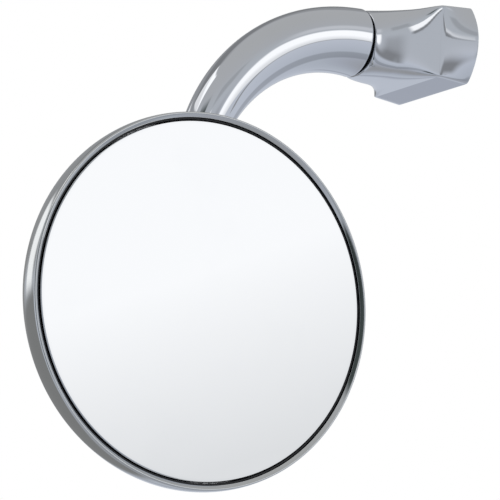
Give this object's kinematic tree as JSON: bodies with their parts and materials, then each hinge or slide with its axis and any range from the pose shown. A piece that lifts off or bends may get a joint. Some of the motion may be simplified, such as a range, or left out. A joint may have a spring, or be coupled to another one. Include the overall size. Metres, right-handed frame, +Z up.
{
  "type": "car side mirror",
  "caption": "Round convex door mirror on a curved tapering arm, with a ball-jointed head and a screw clamp that hooks round a car door's edge.",
  "frame": {"origin": "middle of the clamp slot's floor, where the door's edge rests", "axes": "+X along the clamp's neck towards the door, -Y the way the glass faces and the slot opens, +Z up"},
  "size_m": [0.1571, 0.0484, 0.1538],
  "materials": {
    "polished_steel": "mirror-polished stainless",
    "chrome": "bright chrome plate on die-cast zinc",
    "zinc_plated_steel": "dull zinc plate",
    "black_steel": "black oxide",
    "brass": "plain turned brass",
    "mirror_glass": "silvered convex glass",
    "black_rubber": "matt black rubber",
    "grey_foam": "closed-cell foam",
    "white_nylon": "natural nylon"
  },
  "bodies": {
    "clamp": {"clamp_body": "chrome", "door_pad": "black_rubber", "arm_bush": "white_nylon", "neck_seal": "black_rubber", "thrust_washer": "zinc_plated_steel"},
    "arm": {"arm": "chrome", "ball_stud": "zinc_plated_steel", "stud_washer": "zinc_plated_steel", "dome_nut": "chrome"},
    "rear_seat": {"rear_ball_seat": "white_nylon"},
    "front_seat": {"front_ball_seat": "white_nylon"},
    "head": {"back_shell": "polished_steel", "mirror_glass": "mirror_glass", "glass_gasket": "black_rubber", "foam_pad": "grey_foam", "support_plate": "zinc_plated_steel", "socket_cup": "zinc_plated_steel", "retainer_cup": "zinc_plated_steel", "tension_screw_1": "zinc_plated_steel", "tension_screw_2": "zinc_plated_steel", "tension_screw_3": "zinc_plated_steel", "tension_spring_1": "zinc_plated_steel", "tension_spring_2": "zinc_plated_steel", "tension_spring_3": "zinc_plated_steel", "tension_nut_1": "zinc_plated_steel", "tension_nut_2": "zinc_plated_steel", "tension_nut_3": "zinc_plated_steel"},
    "grip_plate": {"clamp_plate": "zinc_plated_steel"},
    "upper_screw": {"upper_set_screw": "black_steel"},
    "lower_screw": {"lower_set_screw": "black_steel"},
    "lock_tip": {"lock_tip": "brass"},
    "lock_screw": {"lock_screw": "black_steel"}
  },
  "joints": [
    {"name": "arm_swing", "type": "hinge", "parent": "clamp", "child": "arm", "pos_m": [-0.0332, -0.013, -0.0011], "axis": [1, 0, 0], "range_deg": [-90, 90]},
    {"name": "head_pan", "type": "hinge", "parent": "arm", "child": "rear_seat", "pos_m": [-0.0944, -0.0285, -0.0906], "axis": [0, 0, 1], "range_deg": [-15, 15]},
    {"name": "head_tilt", "type": "hinge", "parent": "rear_seat", "child": "front_seat", "pos_m": [-0.0944, -0.0285, -0.0906], "axis": [1, 0, 0], "range_deg": [-10, 15]},
    {"name": "head_roll", "type": "hinge", "parent": "front_seat", "child": "head", "pos_m": [-0.0944, -0.0285, -0.0906], "axis": [0, 1, 0], "continuous": true},
    {"name": "grip_plate_slide", "type": "slide", "parent": "clamp", "child": "grip_plate", "axis": [-1, 0, 0], "range_m": [0, 0.0035]},
    {"name": "upper_screw_turn", "type": "hinge", "parent": "grip_plate", "child": "upper_screw", "pos_m": [0.0078, -0.0058, 0.0067], "axis": [-1, 0, 0], "range_deg": [0, 1800]},
    {"name": "lower_screw_turn", "type": "hinge", "parent": "grip_plate", "child": "lower_screw", "pos_m": [0.0078, -0.0058, -0.0005], "axis": [-1, 0, 0], "range_deg": [0, 1800]},
    {"name": "lock_tip_slide", "type": "slide", "parent": "clamp", "child": "lock_tip", "axis": [0, 1, 0], "range_m": [0, 0.0007]},
    {"name": "lock_screw_turn", "type": "hinge", "parent": "lock_tip", "child": "lock_screw", "pos_m": [-0.0242, -0.0042, -0.0011], "axis": [0, 1, 0], "range_deg": [0, 360]}
  ],
  "couplings": [
    {"joint": "upper_screw_turn", "follows": "grip_plate_slide", "rad_per_m": 8976},
    {"joint": "lower_screw_turn", "follows": "grip_plate_slide", "rad_per_m": 8976},
    {"joint": "lock_screw_turn", "follows": "lock_tip_slide", "rad_per_m": 8976}
  ]
}
